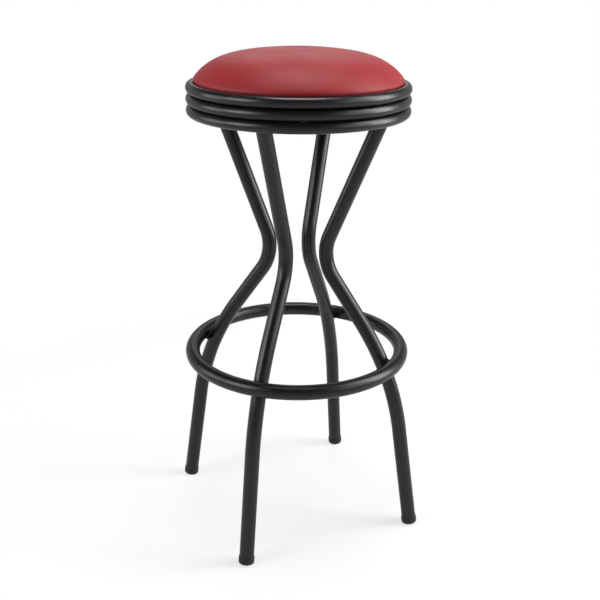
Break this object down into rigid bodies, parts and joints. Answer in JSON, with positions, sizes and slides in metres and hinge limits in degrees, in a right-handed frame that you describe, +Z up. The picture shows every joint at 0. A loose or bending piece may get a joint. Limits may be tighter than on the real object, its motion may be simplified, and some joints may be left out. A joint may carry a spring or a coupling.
{
  "type": "diner counter stool",
  "caption": "Backless counter stool with bent round-tube legs drawn in to a waist, a foot ring, and a swivelling round padded seat in a drum of stacked tube rings.",
  "frame": {"origin": "on the floor, at the centre of the stool, under the swivel axis", "axes": "+Z up along the swivel axis, -Y towards the front, legs on the diagonals"},
  "size_m": [0.3518, 0.3518, 0.7413],
  "materials": {
    "black_powder_coat": "satin black powder coat on steel tube",
    "foot_tip": "matte black moulded plastic",
    "swivel_plate": "zinc-plated pressed sheet, dull",
    "zinc_fastener": "zinc-plated",
    "bearing_steel": "polished balls with a film of grease",
    "cage_plastic": "natural nylon",
    "plywood": "unfinished plywood with laminated edge",
    "foam": "open-cell polyurethane foam",
    "red_vinyl": "soft-sheen red vinyl with a fine grain",
    "staple_wire": "galvanised wire"
  },
  "bodies": {
    "base": {"foot_ring": "black_powder_coat", "foot_ring_welds": "black_powder_coat", "leg_front_left": "black_powder_coat", "leg_front_right": "black_powder_coat", "leg_back_right": "black_powder_coat", "leg_back_left": "black_powder_coat", "foot_tip_front_left": "foot_tip", "foot_tip_front_right": "foot_tip", "foot_tip_back_right": "foot_tip", "foot_tip_back_left": "foot_tip", "leg_cross_plate": "black_powder_coat", "leg_top_welds": "black_powder_coat", "swivel_lower_plate": "swivel_plate", "swivel_pin": "zinc_fastener", "swivel_bolts": "zinc_fastener", "swivel_washers": "zinc_fastener", "swivel_nuts": "zinc_fastener"},
    "ball_ring": {"swivel_ball_cage": "cage_plastic", "swivel_balls": "bearing_steel"},
    "seat": {"swivel_upper_plate": "swivel_plate", "swivel_plate_screws": "zinc_fastener", "seat_ring_top": "black_powder_coat", "seat_ring_middle": "black_powder_coat", "seat_ring_bottom": "black_powder_coat", "ring_bracket_front_left": "black_powder_coat", "ring_bracket_front_right": "black_powder_coat", "ring_bracket_back_right": "black_powder_coat", "ring_bracket_back_left": "black_powder_coat", "ring_bracket_welds": "black_powder_coat", "ring_bracket_screws": "zinc_fastener", "seat_board": "plywood", "seat_foam": "foam", "seat_cover": "red_vinyl", "cover_staples": "staple_wire"}
  },
  "joints": [
    {"name": "seat_swivel", "type": "hinge", "parent": "base", "child": "seat", "pos_m": [0, 0, 0.6595], "axis": [0, 0, 1], "continuous": true},
    {"name": "ball_ring_spin", "type": "hinge", "parent": "base", "child": "ball_ring", "pos_m": [0, 0, 0.6595], "axis": [0, 0, 1], "continuous": true}
  ],
  "couplings": [
    {"joint": "ball_ring_spin", "follows": "seat_swivel", "ratio": 0.5}
  ]
}
